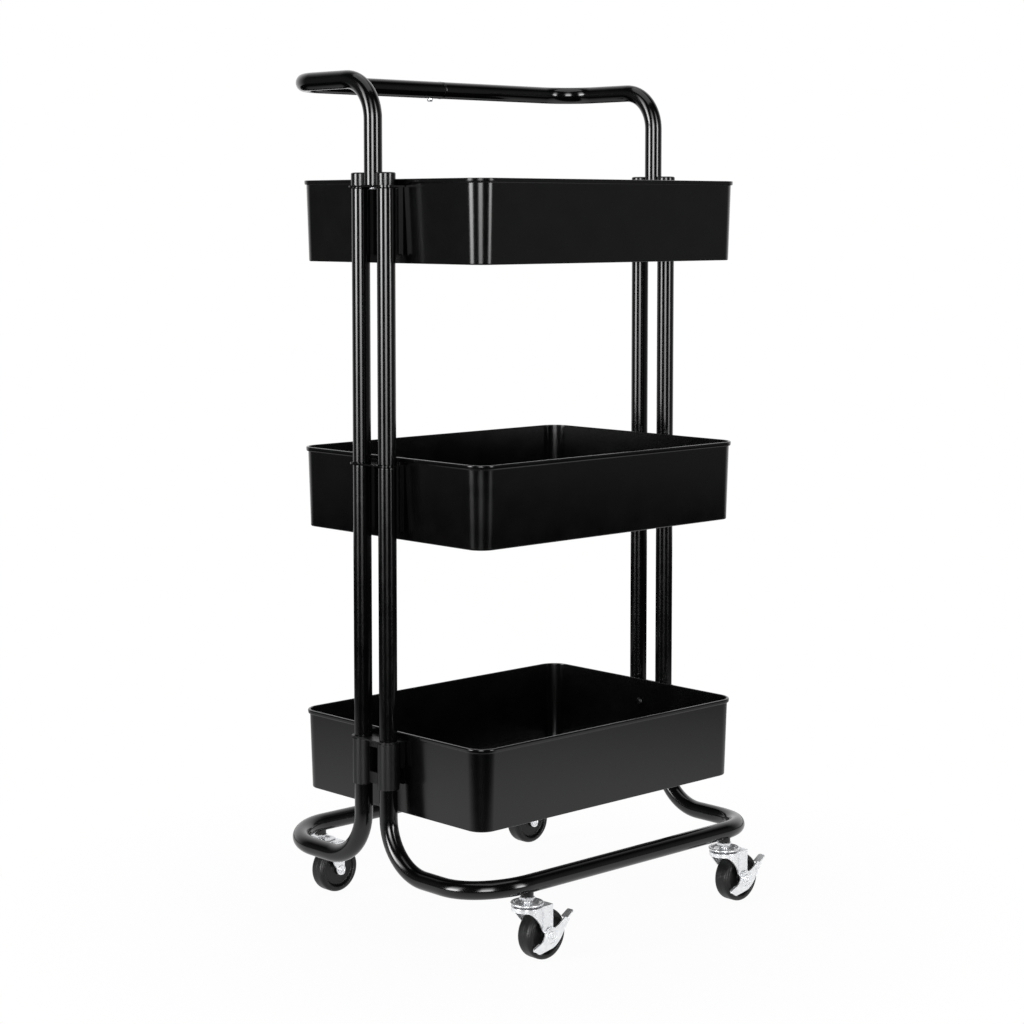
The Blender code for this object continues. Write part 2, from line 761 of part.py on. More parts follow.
def axle_profile():
    """The bolt: a domed head on one end and its nut and thread end on the other."""
    head = FORK_HALF_WIDTH + LEVER_SHEET + LEVER_BOSS + 2 * GAP
    nut = FORK_HALF_WIDTH + GAP
    return [
        (0, AXLE_END),
        (0.0021, AXLE_END),
        (0.0021, AXLE_END - 0.0010),
        (0.0040, AXLE_END - 0.0010),
        (0.0044, AXLE_END - 0.0014),
        (0.0044, nut),
        (AXLE_RADIUS, nut),
        (AXLE_RADIUS, -head),
        (0.0046, -head),
        (0.0046, -head - 0.0008),
        (0.0034, -AXLE_END + 0.0003),
        (0, -AXLE_END),
    ]


def lever_outline():
    """The brake lever's plate seen from its side, about the axle: shoe end, disc, pedal end."""
    points = [(-0.0245, -0.0105), (-0.0170, -0.0165), (0.0050, -0.0125), (0.0130, -0.0060)]
    points += [(0.0205, 0.0055), (0.0263, 0.0127), (0.0198, 0.0158)]
    for step in range(6):
        angle = math.radians(62 + 22 * step)
        points.append((LEVER_DISC * math.cos(angle), LEVER_DISC * math.sin(angle)))
    return points


def lever_flange(name, size, spot, turn):
    """A flat tab turned in from the lever's plate: its size along and across, and its place."""
    half = LEVER_SHEET / 2
    tab = box(name, (0, -half, -half), (size[0], size[1] - half, half))
    place = Matrix.Translation((spot[0], 0, spot[1]))
    tab.data.transform(place @ Matrix.Rotation(turn, 4, "Y"))
    return tab


def lever_mesh():
    """The stamped lever with its pedal pad and its shoe turned in toward the wheel."""
    plate = flat_outline("plate", lever_outline(), LEVER_SHEET)
    pad = lever_flange("pad", LEVER_PAD, LEVER_PAD_SPOT, LEVER_PAD_TURN)
    shoe = lever_flange("shoe", LEVER_SHOE, LEVER_SHOE_SPOT, LEVER_SHOE_TURN)
    boss = cylinder("boss", LEVER_BOSS_RADIUS, (0, -LEVER_SHEET / 2 - LEVER_BOSS, 0), (0, 0, 0), 20)
    lever = combined(plate, [pad, shoe, boss], "UNION")
    hole = cylinder("hole", AXLE_RADIUS + GAP, (0, -0.01, 0), (0, 0.01, 0), 14)
    lever = combined(lever, [hole], "DIFFERENCE")
    mesh = lever.data
    bpy.data.objects.remove(lever, do_unlink=True)
    return mesh


def make_casters():
    fork = fork_mesh()
    lever = lever_mesh()
    for corner, (end, side) in CORNERS.items():
        x = end * STEM_X
        y = side * BAR_Y
        make_socket(f"caster_socket_{corner}", x, y, side)
        make_stem(f"caster_stem_{corner}", x, y)
        make_bearing(f"caster_bearing_{corner}", x, y)
        piece = add_object(f"caster_fork_{corner}", fork.copy())
        piece.location = (x, y, 0)
        finished(piece, "zinc")
        axle_centre = (x + TRAIL, y, WHEEL_RADIUS)
        finished(
            turned(f"caster_wheel_{corner}", wheel_profile(), 24, axle_centre, "Y"),
            "black_plastic")
        finished(turned(f"caster_axle_{corner}", axle_profile(), 10, axle_centre, "Y"), "zinc")
        if side < 0:
            piece = add_object(f"brake_lever_{corner}", lever.copy())
            offset = FORK_HALF_WIDTH + GAP + LEVER_SHEET / 2
            piece.location = (x + TRAIL, y - offset, WHEEL_RADIUS)
            finished(piece, "zinc")


def main():
    make_base()
    make_posts()
    make_post_caps()
    for level in RIM_TOPS:
        make_basket(level)
        for side_name in ENDS:
            make_bracket(level, side_name)
            make_wall_screw(level, side_name)
    make_handle()
    make_casters()


main()
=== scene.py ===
import json
import math

import bmesh
import bpy
from mathutils import Matrix, Vector

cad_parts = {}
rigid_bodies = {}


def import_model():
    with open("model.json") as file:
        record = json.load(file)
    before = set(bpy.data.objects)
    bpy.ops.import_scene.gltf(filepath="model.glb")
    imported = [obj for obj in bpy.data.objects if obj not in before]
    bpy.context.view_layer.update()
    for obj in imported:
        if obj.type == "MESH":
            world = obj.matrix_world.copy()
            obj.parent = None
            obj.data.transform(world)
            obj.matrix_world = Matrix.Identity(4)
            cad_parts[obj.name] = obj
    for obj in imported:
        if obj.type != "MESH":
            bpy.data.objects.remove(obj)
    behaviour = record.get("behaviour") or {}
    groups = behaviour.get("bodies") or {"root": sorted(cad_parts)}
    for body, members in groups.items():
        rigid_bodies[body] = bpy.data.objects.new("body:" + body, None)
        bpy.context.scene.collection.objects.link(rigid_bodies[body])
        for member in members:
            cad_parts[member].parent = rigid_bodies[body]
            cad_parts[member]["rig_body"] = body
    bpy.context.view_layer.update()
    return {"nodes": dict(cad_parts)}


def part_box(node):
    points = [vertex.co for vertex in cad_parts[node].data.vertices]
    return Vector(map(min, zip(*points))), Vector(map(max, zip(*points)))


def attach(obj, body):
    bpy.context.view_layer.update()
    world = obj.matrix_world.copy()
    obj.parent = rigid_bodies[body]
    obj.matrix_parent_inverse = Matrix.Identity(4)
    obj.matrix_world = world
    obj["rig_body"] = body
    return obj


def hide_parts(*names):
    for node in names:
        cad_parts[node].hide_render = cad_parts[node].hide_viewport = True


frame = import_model()


# ---------------------------------------------------------------- frame dimensions
def middle(node):
    low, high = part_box(node)
    return (low + high) / 2


def size(node):
    low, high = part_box(node)
    return high - low


LEVELS = ("bottom", "middle", "top")
ENDS = {"left": -1, "right": 1}
CORNERS = {
    "front_left": (-1, -1),
    "front_right": (1, -1),
    "back_left": (-1, 1),
    "back_right": (1, 1),
}
GAP = 0.0003
TUBE = 0.0095
WALL = 0.001
NECK = 0.0081
NECK_LENGTH = 0.014
POST_X = middle("post_upper_front_right").x
POST_Y = middle("post_upper_back_right").y
FLANGE_THICK = 0.0015
RIM_TOP = {level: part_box(f"basket_{level}")[1].z for level in LEVELS}
FLANGE_TOP = {level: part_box(f"bracket_{level}_left")[1].z for level in LEVELS}
BASKET_LENGTH = size("basket_top").x
BASKET_WIDTH = size("basket_top").y
BASKET_HEIGHT = size("basket_top").z
BASE_Z = 0.0806
BAR_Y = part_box("base_tube_back")[1].y - TUBE
ARM_DROP = BASE_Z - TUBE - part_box("base_tube_back")[0].z
HANDLE_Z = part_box("handle_left")[1].z - TUBE
HANDLE_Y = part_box("handle_left")[1].y - TUBE
WHEEL_RADIUS = size("caster_wheel_front_left").z / 2
STEM = middle("caster_bearing_back_right")
FORK_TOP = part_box("caster_fork_front_left")[1].z
TRAIL = middle("caster_wheel_front_right").x - STEM.x
ROUND = 56
TUBE_SIDES = 44
SHARP_ANGLE = math.radians(38)


# ---------------------------------------------------------------- material kit
def node_material(name):
    material = bpy.data.materials.new(name)
    material.use_nodes = True
    return material, material.node_tree, material.node_tree.nodes["Principled BSDF"]


def add_node(tree, kind, links=None, **settings):
    """A shader node with its attributes set and its inputs linked by name."""
    node = tree.nodes.new(kind)
    for key, value in settings.items():
        setattr(node, key, value)
    for key, source in (links or {}).items():
        tree.links.new(source, node.inputs[key])
    return node


def object_noise(tree, scale, detail=3.0, rough=0.55, squash=(1, 1, 1)):
    """Noise in the object's own space; scale is in features per metre."""
    coords = add_node(tree, "ShaderNodeTexCoord")
    mapping = add_node(tree, "ShaderNodeMapping", {"Vector": coords.outputs["Object"]})
    mapping.inputs["Scale"].default_value = squash
    noise = add_node(tree, "ShaderNodeTexNoise", {"Vector": mapping.outputs["Vector"]})
    noise.inputs["Scale"].default_value = scale
    noise.inputs["Detail"].default_value = detail
    noise.inputs["Roughness"].default_value = rough
    return noise.outputs["Fac"]


def remap(tree, source, from_low, from_high, to_low, to_high):
    node = add_node(tree, "ShaderNodeMapRange", {"Value": source})
    for key, value in (("From Min", from_low), ("From Max", from_high),
                       ("To Min", to_low), ("To Max", to_high)):
        node.inputs[key].default_value = value
    return node.outputs["Result"]


def combine(tree, operation, first, second):
    """A math node on two values, each a number or a socket."""
    node = add_node(tree, "ShaderNodeMath", operation=operation)
    for socket, value in zip(node.inputs, (first, second)):
        if isinstance(value, (int, float)):
            socket.default_value = value
        else:
            tree.links.new(value, socket)
    return node.outputs["Value"]


def tint(tree, factor, low, high):
    """A colour between two colours."""
    node = add_node(tree, "ShaderNodeMix", data_type="RGBA")
    node.inputs["A"].default_value = (*low, 1)
    node.inputs["B"].default_value = (*high, 1)
    tree.links.new(factor, node.inputs["Factor"])
    return node.outputs["Result"]


def bump(tree, shader, heights):
    """Stack bumps of (height source, depth in metres, strength)."""
    normal = None
    for source, depth, strength in heights:
        node = add_node(tree, "ShaderNodeBump", {"Height": source})
        node.inputs["Distance"].default_value = depth
        node.inputs["Strength"].default_value = strength
        if normal:
            tree.links.new(normal, node.inputs["Normal"])
        normal = node.outputs["Normal"]
    tree.links.new(normal, shader.inputs["Normal"])


def powder_coat(name, roughness, peel, ior=1.5):
    """Semi-gloss black powder coat: orange peel, faint cloudiness and fine dust specks."""
    material, tree, shader = node_material(name)
    cloud = object_noise(tree, 34, 4)
    specks = object_noise(tree, 2600, 1)
    body = tint(tree, remap(tree, cloud, 0.3, 0.7, 0, 1), (0.0009, 0.0009, 0.0010), (0.0015, 0.0015, 0.0016))
    dusted = add_node(tree, "ShaderNodeMix", data_type="RGBA")
    dusted.inputs["B"].default_value = (0.010, 0.010, 0.010, 1)
    tree.links.new(body, dusted.inputs["A"])
    tree.links.new(remap(tree, specks, 0.74, 0.80, 0, 0.5), dusted.inputs["Factor"])
    tree.links.new(dusted.outputs["Result"], shader.inputs["Base Color"])
    tree.links.new(remap(tree, cloud, 0.25, 0.75, roughness - 0.02, roughness + 0.03),
                   shader.inputs["Roughness"])
    shader.inputs["IOR"].default_value = ior
    bump(tree, shader, [
        (object_noise(tree, 120, 2), 0.00006, peel),
        (object_noise(tree, 700, 1), 0.00001, peel),
    ])
    return material


def plastic(name, low, high, roughness, grain, grain_depth):
    """Moulded plastic with a fine spark-eroded grain and slightly uneven gloss."""
    material, tree, shader = node_material(name)
    cloud = object_noise(tree, 60, 3)
    tree.links.new(tint(tree, remap(tree, cloud, 0.3, 0.7, 0, 1), low, high), shader.inputs["Base Color"])
    tree.links.new(remap(tree, cloud, 0.2, 0.8, roughness - 0.05, roughness + 0.06),
                   shader.inputs["Roughness"])
    shader.inputs["IOR"].default_value = 1.49
    bump(tree, shader, [(object_noise(tree, grain, 2), grain_depth, 0.35)])
    return material


def wheel_plastic():
    """Hard black wheel plastic: dull scuffed tread, cleaner and glossier sides."""
    material, tree, shader = node_material("wheel_plastic")
    coords = add_node(tree, "ShaderNodeTexCoord")
    flat = add_node(tree, "ShaderNodeVectorMath", operation="MULTIPLY")
    tree.links.new(coords.outputs["Object"], flat.inputs[0])
    flat.inputs[1].default_value = (1, 0, 1)
    reach = add_node(tree, "ShaderNodeVectorMath", operation="LENGTH")
    tree.links.new(flat.outputs["Vector"], reach.inputs[0])
    tread = remap(tree, reach.outputs["Value"], WHEEL_RADIUS - 0.0016, WHEEL_RADIUS - 0.0002, 0, 1)
    scuff = object_noise(tree, 900, 5, 0.7, (1, 3, 1))
    marks = remap(tree, scuff, 0.50, 0.72, 0, 1)
    worn = combine(tree, "MULTIPLY", tread, marks)
    colour = tint(tree, worn, (0.0022, 0.0022, 0.0024), (0.0090, 0.0088, 0.0086))
    tree.links.new(colour, shader.inputs["Base Color"])
    dull = combine(tree, "ADD", combine(tree, "MULTIPLY", worn, 0.20), 0.38)
    tree.links.new(dull, shader.inputs["Roughness"])
    shader.inputs["IOR"].default_value = 1.38
    bump(tree, shader, [(scuff, 0.00004, 0.4), (object_noise(tree, 2500, 1), 0.00001, 0.3)])
    return material


def zinc(name, roughness, colour_low, colour_high, metal=0.78):
    """Bright zinc plate: a soft crystalline mottle, die-drawn lines and a few dull spots."""
    material, tree, shader = node_material(name)
    mottle = object_noise(tree, 160, 3, 0.5)
    lines = object_noise(tree, 700, 2, 0.5, (1, 1, 0.06))
    tree.links.new(tint(tree, remap(tree, mottle, 0.3, 0.7, 0, 1), colour_low, colour_high),
                   shader.inputs["Base Color"])
    shader.inputs["Metallic"].default_value = metal
    tree.links.new(remap(tree, mottle, 0.25, 0.75, roughness - 0.04, roughness + 0.06),
                   shader.inputs["Roughness"])
    bump(tree, shader, [(mottle, 0.00001, 0.05), (lines, 0.000004, 0.05)])
    return material


LOOKS = {
    "coat": powder_coat("powder_coat", 0.165, 0.04),
    "satin": powder_coat("satin_coat", 0.37, 0.04, 1.39),
    "coat_tube": powder_coat("powder_coat_tube", 0.135, 0.015),
    "cap": plastic("cap_plastic", (0.0014, 0.0014, 0.0016), (0.0022, 0.0022, 0.0024), 0.19, 1800, 0.000002),
    "wheel": wheel_plastic(),
    "zinc": zinc("zinc_plate", 0.27, (0.84, 0.85, 0.87), (0.93, 0.94, 0.96)),
    "zinc_dull": zinc("zinc_lever", 0.36, (0.82, 0.83, 0.85), (0.93, 0.94, 0.95)),
    # bearing steel: real steel balls, with the colour darkened as painted shade for the shadowed gap under
    # the race
    "steel_with_painted_shade": zinc("bearing_steel", 0.30, (0.26, 0.26, 0.27), (0.38, 0.38, 0.39), 1.0),
    "black_oxide": zinc("black_oxide", 0.36, (0.018, 0.018, 0.019), (0.034, 0.034, 0.035), 1.0),
}


# ---------------------------------------------------------------- mesh kit
def mesh_object(name, bm):
    bmesh.ops.recalc_face_normals(bm, faces=bm.faces)
    mesh = bpy.data.meshes.new(name)
    bm.to_mesh(mesh)
    bm.free()
    made = bpy.data.objects.new(name, mesh)
    bpy.context.scene.collection.objects.link(made)
    return made


def baked(made):
    """The object with its modifiers applied."""
    graph = bpy.context.evaluated_depsgraph_get()
    graph.update()
    mesh = bpy.data.meshes.new_from_object(made.evaluated_get(graph))
    made.modifiers.clear()
    made.data = mesh
    return made


def combined(base, others, operation):
    for other in others:
        step = base.modifiers.new("step", "BOOLEAN")
        step.operation = operation
        step.solver = "EXACT"
        step.object = other
        baked(base)
        bpy.data.objects.remove(other, do_unlink=True)
    return base


def softened(made, width, segments=2, angle=32):
    """Small rounded edges."""
    edge = made.modifiers.new("edge", "BEVEL")
    edge.width = width
    edge.segments = segments
    edge.limit_method = "ANGLE"
    edge.angle_limit = math.radians(angle)
    return baked(made)


def placed(made, node, look):
    """Stand the piece in for its CAD node, on that node's body, with its material."""
    made.name = f"{node}_shape"
    made.data.materials.clear()
    made.data.materials.append(LOOKS[look])
    made.data.shade_smooth()
    made.data.set_sharp_from_angle(angle=SHARP_ANGLE)
    weighted = made.modifiers.new("normals", "WEIGHTED_NORMAL")
    weighted.keep_sharp = True
    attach(made, frame["nodes"][node]["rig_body"])
    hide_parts(node)


def filleted(corners, steps=4):
    """A polyline with some corners rounded: corners are (a, b, radius)."""
    points = []
    last = len(corners) - 1
    for index, (a, b, radius) in enumerate(corners):
        here = Vector((a, b))
        if radius == 0 or index in (0, last):
            points.append((a, b))
            continue
        before = Vector(corners[index - 1][:2]) - here
        after = Vector(corners[index + 1][:2]) - here
        start = here + before.normalized() * min(radius, before.length * 0.49)
        end = here + after.normalized() * min(radius, after.length * 0.49)
        for step in range(steps + 1):
            t = step / steps
            point = start * (1 - t) ** 2 + here * 2 * t * (1 - t) + end * t ** 2
            points.append((point.x, point.y))
    return points


def join_rings(bm, first, second):
    if len(first) == 1 and len(second) == 1:
        return
    count = max(len(first), len(second))
    for i in range(count):
        j = (i + 1) % count
        if len(first) == 1:
            bm.faces.new((first[0], second[j], second[i]))
        elif len(second) == 1:
            bm.faces.new((first[i], first[j], second[0]))
        else:
            bm.faces.new((first[i], first[j], second[j], second[i]))


def lathe(profile, segments=ROUND, flats=None):
    """Revolve (radius, height) points about Z; flats is (low, high, radius) of a hexagon band."""
    bm = bmesh.new()
    rings = []
    for radius, height in profile:
        if radius == 0:
            rings.append([bm.verts.new((0, 0, height))])
            continue
        ring = []
        for step in range(segments):
            angle = 2 * math.pi * step / segments
            reach = radius
            if flats and flats[0] <= height <= flats[1]:
                across = (angle + math.pi / 6) % (math.pi / 3) - math.pi / 6
                reach = min(radius, flats[2] / math.cos(across))
            ring.append(bm.verts.new((reach * math.cos(angle), reach * math.sin(angle), height)))
        rings.append(ring)
    pairs = list(zip(rings, rings[1:]))
    if profile[0][0] > 0:
        pairs.append((rings[-1], rings[0]))
    for first, second in pairs:
        join_rings(bm, first, second)
    return mesh_object("turned", bm)


def sweep(route):
    """A bent hollow tube, open at both ends, through (point, radius factor) pairs."""
    points = [Vector(point) for point, factor in route]
    bm = bmesh.new()
    outer = []
    inner = []
    side = None
    for index, (point, factor) in enumerate(route):
        back = points[max(index - 1, 0)]
        ahead = points[min(index + 1, len(points) - 1)]
        along = (ahead - back).normalized()
        if side is None:
            side = along.orthogonal().normalized()
        side = (side - along * side.dot(along)).normalized()
        across = along.cross(side)
        outer.append(ring_of(bm, points[index], side, across, TUBE * factor))
        inner.append(ring_of(bm, points[index], side, across, TUBE * factor - WALL))
    for first, second in zip(outer, outer[1:]):
        join_rings(bm, first, second)
    for first, second in zip(inner, inner[1:]):
        join_rings(bm, second, first)
    join_rings(bm, outer[-1], inner[-1])
    join_rings(bm, inner[0], outer[0])
    return mesh_object("tube", bm)


def ring_of(bm, centre, side, across, radius):
    ring = []
    for step in range(TUBE_SIDES):
        angle = 2 * math.pi * step / TUBE_SIDES
        offset = side * math.cos(angle) + across * math.sin(angle)
        ring.append(bm.verts.new(centre + offset * radius))
    return ring


def arc(centre, first, second, radius, steps=16):
    """A quarter turn about a centre, from one direction to another."""
    made = []
    for step in range(steps + 1):
        angle = math.pi / 2 * step / steps
        offset = Vector(first) * math.cos(angle) + Vector(second) * math.sin(angle)
        made.append(Vector(centre) + offset * radius)
    return made


def plain(points):
    """Route points at the tube's full radius."""
    return [(point, 1.0) for point in points]


def box(low, high):
    bm = bmesh.new()
    bmesh.ops.create_cube(bm, size=1.0)
    low = Vector(low)
    high = Vector(high)
    bmesh.ops.scale(bm, vec=high - low, verts=bm.verts)
    bmesh.ops.translate(bm, vec=(high + low) / 2, verts=bm.verts)
    return mesh_object("box", bm)


def rod(radius, start, end, segments=40):
    start = Vector(start)
    end = Vector(end)
    along = end - start
    bm = bmesh.new()
    bmesh.ops.create_cone(
        bm, cap_ends=True, segments=segments, radius1=radius, radius2=radius, depth=along.length)
    turn = Vector((0, 0, 1)).rotation_difference(along).to_matrix().to_4x4()
    bmesh.ops.transform(bm, matrix=Matrix.Translation((start + end) / 2) @ turn, verts=bm.verts)
    return mesh_object("rod", bm)


def prism(outline, low, high, plane="XY"):
    """A flat outline given a depth: along Z for plane XY, along Y for plane XZ."""
    def spot(a, b, depth):
        return (a, b, depth) if plane == "XY" else (a, depth, b)

    bm = bmesh.new()
    bottom = [bm.verts.new(spot(a, b, low)) for a, b in outline]
    top = [bm.verts.new(spot(a, b, high)) for a, b in outline]
    bm.faces.new(bottom)
    bm.faces.new(top)
    join_rings(bm, bottom, top)
    return mesh_object("prism", bm)


def moved(made, matrix):
    made.data.transform(matrix)
    return made


# ---------------------------------------------------------------- tubes
RISER_BEND = 0.055
CORNER_BEND = 0.062
RISE_BEND = 0.042
HANDLE_CORNER = 0.042
HANDLE_HOLE = 0.0023
SEAM_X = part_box("handle_left")[1].x
JOINT_SCREW = middle("handle_joint_screw")


def shoulder_height(level):
    return FLANGE_TOP[level] - FLANGE_THICK - GAP


def shoulder(level, x, y):
    """A rounded shoulder and the neck that goes through the bracket plate."""
    top = shoulder_height(level)
    neck = NECK / TUBE
    made = [((x, y, top - 0.0016), 1.0)]
    for step in range(1, 6):
        angle = math.pi / 2 * step / 5
        drop = 0.0013 * (1 - math.sin(angle))
        factor = neck + (1.0 - neck) * math.cos(angle)
        made.append(((x, y, top - drop - 0.0002), factor))
    made.append(((x, y, top + NECK_LENGTH), neck))
    return made


def post_route(x, y, below, above):
    """A straight post that stands on one bracket plate and ends in a neck through the next."""
    foot = FLANGE_TOP[below] + GAP
    route = [((x, y, foot), 0.975), ((x, y, foot + 0.0003), 0.993), ((x, y, foot + 0.0007), 1.0)]
    return route + shoulder(above, x, y)


def make_posts():
    spans = {"lower": ("bottom", "middle"), "upper": ("middle", "top")}
    for span, (below, above) in spans.items():
        for corner, (end, side) in CORNERS.items():
            post = sweep(post_route(end * POST_X, side * POST_Y, below, above))
            placed(post, f"post_{span}_{corner}", "coat_tube")


def base_half(end, side):
    """From a bracket down the riser, out along the arm, and round the corner to the bar."""
    x = end * POST_X
    y_post = side * POST_Y
    arm_z = BASE_Z - ARM_DROP
    riser = shoulder("bottom", x, y_post)[::-1]
    bend = arc((x, y_post + side * RISER_BEND, arm_z + RISER_BEND), (0, -side, 0), (0, 0, -1), RISER_BEND)
    corner_y = side * (BAR_Y - CORNER_BEND)
    corner = arc((x - end * CORNER_BEND, corner_y, arm_z), (end, 0, 0), (0, side, 0), CORNER_BEND, 20)
    for index, point in enumerate(corner):
        share = index / (len(corner) - 1)
        point.z += ARM_DROP * share * share * (3 - 2 * share)
    return riser + plain(bend) + plain(corner)


def make_base():
    for name, side in {"base_tube_front": -1, "base_tube_back": 1}.items():
        placed(sweep(base_half(-1, side) + base_half(1, side)[::-1]), name, "coat_tube")


def handle_half(end):
    """From a top bracket up, back and round the corner towards the other half."""
    foot = FLANGE_TOP["top"] + GAP
    x = end * POST_X
    rise = arc((x, RISE_BEND, HANDLE_Z - RISE_BEND), (0, -1, 0), (0, 0, 1), RISE_BEND)
    centre = (x - end * HANDLE_CORNER, HANDLE_Y - HANDLE_CORNER, HANDLE_Z)
    corner = arc(centre, (end, 0, 0), (0, 1, 0), HANDLE_CORNER)
    foot_route = [((x, 0, foot), 0.975), ((x, 0, foot + 0.0006), 1.0)]
    return foot_route + plain(rise) + plain(corner)


def make_handle():
    neck = NECK / TUBE
    left_route = handle_half(-1)
    for offset, factor in ((-0.0030, 1.0), (-0.0020, 1.025), (-0.0006, 1.03), (-0.0001, 1.0), (0.0, 0.97)):
        left_route.append(((SEAM_X + offset, HANDLE_Y, HANDLE_Z), factor))
    right_route = handle_half(1)
    for offset, factor in ((0.0024, 1.0), (0.0018, 0.99), (0.0014, 0.95), (0.0013, neck), (-0.034, neck)):
        right_route.append(((SEAM_X + offset, HANDLE_Y, HANDLE_Z), factor))
    for node, route in (("handle_left", left_route), ("handle_right", right_route)):
        half = sweep(route)
        drill = rod(
            HANDLE_HOLE, JOINT_SCREW + Vector((0, 0, -0.02)), JOINT_SCREW + Vector((0, 0, 0.004)), 20)
        placed(combined(half, [drill], "DIFFERENCE"), node, "coat_tube")


def make_post_caps():
    low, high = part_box("post_cap_front_left")
    radius = (high.x - low.x) / 2
    bore = NECK + GAP
    roof = high.z - 0.0020
    profile = filleted([
        (0, high.z, 0), (radius * 0.80, high.z - 0.0001, 0.002), (radius, high.z - 0.0009, 0.0011),
        (radius, low.z, 0.0002), (bore, low.z, 0.0002), (bore, roof, 0), (0, roof, 0)], 6)
    for corner, (end, side) in CORNERS.items():
        cap = lathe(profile)
        cap.location = (end * POST_X, side * POST_Y, 0)
        placed(cap, f"post_cap_{corner}", "cap")


# ---------------------------------------------------------------- baskets
RIM_PROUD = 0.0021
RIM_HEIGHT = 0.0047
SHEET = 0.0008
TAPER = 0.0026
CORNER_RADIUS = 0.0205
FLOOR_BEND = 0.0014


def tray_ring(bm, half_x, half_y, radius, offset, z, steps=14):
    """A rounded rectangle, grown by offset about fixed corner centres."""
    ring = []
    for turn, (sx, sy) in enumerate(((1, 1), (-1, 1), (-1, -1), (1, -1))):
        centre_x = sx * (half_x - radius)
        centre_y = sy * (half_y - radius)
        for step in range(steps + 1):
            angle = math.radians(90 * turn + 90 * step / steps)
            reach = radius + offset
            x = centre_x + reach * math.cos(angle)
            y = centre_y + reach * math.sin(angle)
            ring.append(bm.verts.new((x, y, z)))
    return ring


def basket_profile():
    """(offset from the wall's outer face at the rim, height below the rim's top), floor to floor."""
    slope = TAPER / BASKET_HEIGHT
    floor = -BASKET_HEIGHT
    wall_low = -TAPER
    outer = [
        (wall_low - 0.012, floor, 0),
        (wall_low, floor, FLOOR_BEND),
        (-slope * RIM_HEIGHT, -RIM_HEIGHT, 0.0005),
        (RIM_PROUD - 0.0003, -RIM_HEIGHT + 0.0001, 0.0011),
        (RIM_PROUD, -0.0002, 0.0014),
        (-SHEET, 0.0, 0.0011),
        (-SHEET - slope * 0.02, -0.02, 0),
        (wall_low - SHEET, floor + SHEET, FLOOR_BEND - SHEET),
        (wall_low - 0.012, floor + SHEET, 0),
    ]
    return filleted(outer, 6)


def make_basket(level):
    half_x = BASKET_LENGTH / 2 - RIM_PROUD
    half_y = BASKET_WIDTH / 2 - RIM_PROUD
    bm = bmesh.new()
    rings = []
    for offset, z in basket_profile():
        rings.append(tray_ring(bm, half_x, half_y, CORNER_RADIUS, offset, RIM_TOP[level] + z))
    for first, second in zip(rings, rings[1:]):
        join_rings(bm, first, second)
    bm.faces.new(rings[0])
    bm.faces.new(rings[-1])
    basket = mesh_object("basket", bm)
    screw_z = middle(f"wall_screw_{level}_left").z
    drill = rod(0.0027, (-half_x - 0.01, 0, screw_z), (half_x + 0.01, 0, screw_z), 24)
    placed(combined(basket, [drill], "DIFFERENCE"), f"basket_{level}", "coat")


# ---------------------------------------------------------------- brackets
SHEET_STEEL = 0.0016
SLEEVE = 0.0113
WEB_HALF = 0.0285
FLANGE_REACH = 0.0112
GROOVE = 0.0011
RIB_HALF = 0.0012
BRIDGE_HALF = 0.0015
WINDOW_LOW = 0.014
WINDOW_HIGH = 0.010
WING_DEPTH = 0.006
WING_FOOT = 0.0025
BOTTOM_WING_FOOT = 0.0215
SCREW_HOLE = 0.0027


def end_box(end, x_low, x_high, y_low, y_high, z_low, z_high):
    """A box at one end of the cart; x_low and x_high are distances from the cart's middle."""
    x_min, x_max = sorted((end * x_low, end * x_high))
    return box((x_min, y_low, z_low), (x_max, y_high, z_high))


def sleeve_joins(end, web_x, z_low, z_top, web_top):
    """A bottom bracket's two sleeves with their ribs, the bridge between them and the tie to the web."""
    made = []
    sleeve_top = z_top - FLANGE_THICK - GROOVE
    for side in (-1, 1):
        centre = (end * POST_X, side * POST_Y)
        made.append(rod(SLEEVE, (*centre, z_low), (*centre, sleeve_top), ROUND))
        made.append(rod(SLEEVE - GROOVE, (*centre, sleeve_top - 0.001), (*centre, web_top), ROUND))
        made.append(end_box(
            end, web_x + 0.0005, POST_X - 0.004, side * POST_Y - RIB_HALF, side * POST_Y + RIB_HALF,
            z_low + 0.0035, web_top - 0.0002))
    made.append(end_box(
        end, POST_X - BRIDGE_HALF, POST_X + BRIDGE_HALF, 0.004 - POST_Y, POST_Y - 0.004, z_low + 0.002,
        web_top + 0.0002))
    made.append(end_box(
        end, web_x + 0.0005, POST_X, -RIB_HALF, RIB_HALF, z_low + 0.003, z_low + WINDOW_LOW))
    return made


